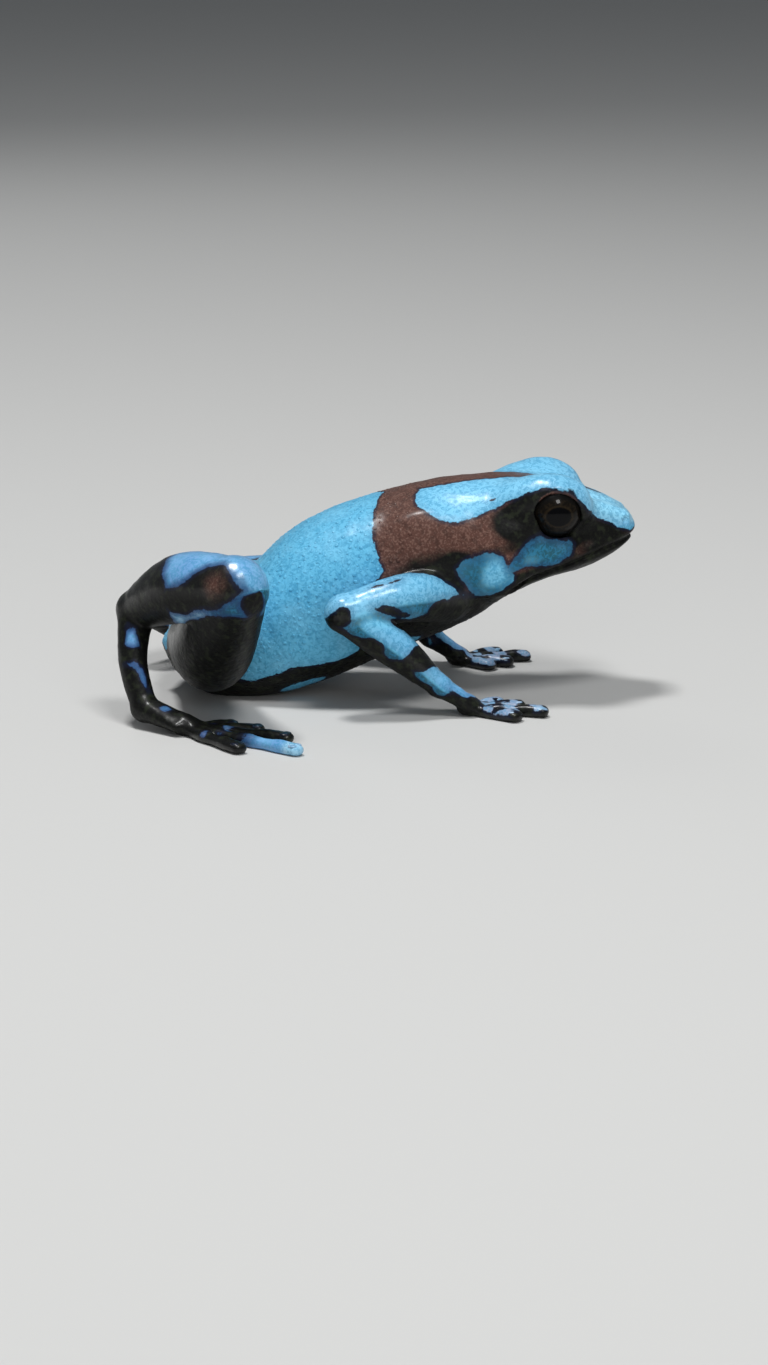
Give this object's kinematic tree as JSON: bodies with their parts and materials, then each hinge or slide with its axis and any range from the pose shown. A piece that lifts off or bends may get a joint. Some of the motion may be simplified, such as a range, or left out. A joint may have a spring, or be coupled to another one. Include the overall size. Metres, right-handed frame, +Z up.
{
  "type": "blue and bronze poison dart frog",
  "caption": "Life-size still model of a blue and bronze poison dart frog, crouched on all fours with its head raised and its rear heels up.",
  "frame": {"origin": "on the floor, under the middle of the whole frog's box", "axes": "+X ahead, the way the frog faces; +Y to its left; +Z up"},
  "size_m": [0.0382, 0.0412, 0.017],
  "materials": {
    "skin_blue": "moist granular skin, pale sky blue",
    "skin_brown": "moist granular skin, bronze brown",
    "skin_dark": "moist skin, greenish black",
    "eye": "wet, glossy black"
  },
  "bodies": {
    "root": {"head": "skin_brown", "torso": "skin_blue", "eye_right": "eye", "eye_left": "eye", "upper_arm_right": "skin_blue", "forearm_right": "skin_blue", "hand_right": "skin_dark", "thigh_right": "skin_blue", "shank_right": "skin_blue", "tarsus_right": "skin_dark", "foot_right": "skin_dark", "upper_arm_left": "skin_blue", "forearm_left": "skin_blue", "hand_left": "skin_dark", "thigh_left": "skin_blue", "shank_left": "skin_blue", "tarsus_left": "skin_dark", "foot_left": "skin_dark"}
  },
  "joints": []
}
